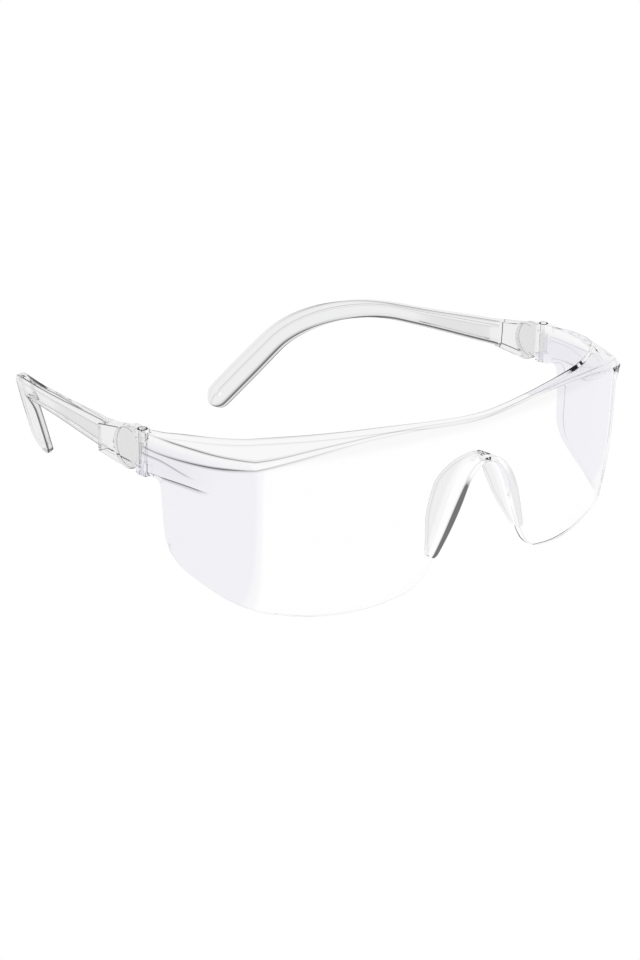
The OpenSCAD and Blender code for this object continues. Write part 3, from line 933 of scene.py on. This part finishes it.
# ---------------------------------------------------------------- studio
FLOOR_HALF, FLOOR_Z = 20, -0.0002          # metres
GREY_SIDE = (-0.627, -0.692, 0.358)


def floor_paper():
    """Paper that is evenly white everywhere, as if lit through."""
    mat = bpy.data.materials.new("white studio paper")
    mat.use_nodes = True
    nodes, links = mat.node_tree.nodes, mat.node_tree.links
    nodes.clear()
    out = nodes.new("ShaderNodeOutputMaterial")
    out.label = "studio paper"
    out.location = (300, 0)
    paper = nodes.new("ShaderNodeEmission")
    paper.label = "paper lit from below"
    paper.location = (0, 0)
    paper.inputs["Color"].default_value = (1, 1, 1, 1)
    paper.inputs["Strength"].default_value = 1.0
    links.new(paper.outputs["Emission"], out.inputs["Surface"])
    return mat


floor_mesh = bpy.data.meshes.new("studio floor")
floor_mesh.from_pydata([(x, y, FLOOR_Z) for x, y in ((-FLOOR_HALF, -FLOOR_HALF), (FLOOR_HALF, -FLOOR_HALF),
                                                     (FLOOR_HALF, FLOOR_HALF), (-FLOOR_HALF, FLOOR_HALF))],
                       [], [(0, 1, 2, 3)])
floor = bpy.data.objects.new("studio_floor", floor_mesh)
bpy.context.scene.collection.objects.link(floor)
floor_mesh.materials.append(floor_paper())


def studio_room():
    """White room, greyer on the side that the glasses are seen from."""
    world = bpy.data.worlds.new("studio room")
    world.use_nodes = True
    nodes, links = world.node_tree.nodes, world.node_tree.links
    nodes.clear()
    walls = nodes.new("NodeFrame")
    walls.label = "white walls with one greyer side"
    where = nodes.new("ShaderNodeTexCoord")
    where.label = "direction in the room"
    where.parent = walls
    where.location = (-900, 0)
    facing = nodes.new("ShaderNodeVectorMath")
    facing.operation = "DOT_PRODUCT"
    facing.label = "how far towards the greyer side"
    facing.parent = walls
    facing.location = (-700, 0)
    facing.inputs[1].default_value = GREY_SIDE
    half = nodes.new("ShaderNodeMapRange")
    half.label = "from the far side to the grey one"
    half.parent = walls
    half.location = (-500, 0)
    half.inputs["From Min"].default_value = -1
    half.inputs["From Max"].default_value = 1
    ramp = nodes.new("ShaderNodeValToRGB")
    ramp.label = "white to grey"
    ramp.parent = walls
    ramp.location = (-300, 0)
    ramp.color_ramp.elements[0].position = 0.4
    ramp.color_ramp.elements[0].color = (1, 1, 1, 1)
    ramp.color_ramp.elements[1].position = 0.85
    ramp.color_ramp.elements[1].color = (0.2, 0.2, 0.2, 1)
    room = nodes.new("ShaderNodeBackground")
    room.label = "room light"
    room.location = (0, 0)
    out = nodes.new("ShaderNodeOutputWorld")
    out.label = "studio room"
    out.location = (200, 0)
    links.new(where.outputs["Generated"], facing.inputs[0])
    links.new(facing.outputs["Value"], half.inputs["Value"])
    links.new(half.outputs["Result"], ramp.inputs["Fac"])
    links.new(ramp.outputs["Color"], room.inputs["Color"])
    links.new(room.outputs["Background"], out.inputs["Surface"])
    return world


bpy.context.scene.world = studio_room()

# ---------------------------------------------------------------- camera
CAMERA_TURN, CAMERA_RISE, CAMERA_ROLL = -0.7366, 0.36705, 0.018147
CAMERA_TARGET = Vector((-50.18, 0.29, 38.53))
CAMERA_DISTANCE = 517.4
back = Vector((math.sin(CAMERA_TURN) * math.cos(CAMERA_RISE), -math.cos(CAMERA_TURN) * math.cos(CAMERA_RISE),
               math.sin(CAMERA_RISE)))
right = Vector((math.cos(CAMERA_TURN), math.sin(CAMERA_TURN), 0))
up = back.cross(right)
right, up = (math.cos(CAMERA_ROLL) * right + math.sin(CAMERA_ROLL) * up,
             math.cos(CAMERA_ROLL) * up - math.sin(CAMERA_ROLL) * right)
place = CAMERA_TARGET + CAMERA_DISTANCE * back
camera_data = bpy.data.cameras.new("camera")
camera_data.lens = 71.925
camera_data.sensor_width = 36
camera_data.clip_start = 0.01
camera_data.clip_end = 100
camera = bpy.data.objects.new("camera", camera_data)
bpy.context.scene.collection.objects.link(camera)
camera.matrix_world = Matrix((
    (right.x, up.x, back.x, place.x * MM),
    (right.y, up.y, back.y, (place.y - Y_MID) * MM),
    (right.z, up.z, back.z, place.z * MM),
    (0, 0, 0, 1)))
bpy.context.scene.camera = camera
bpy.context.scene.view_settings.view_transform = "Standard"
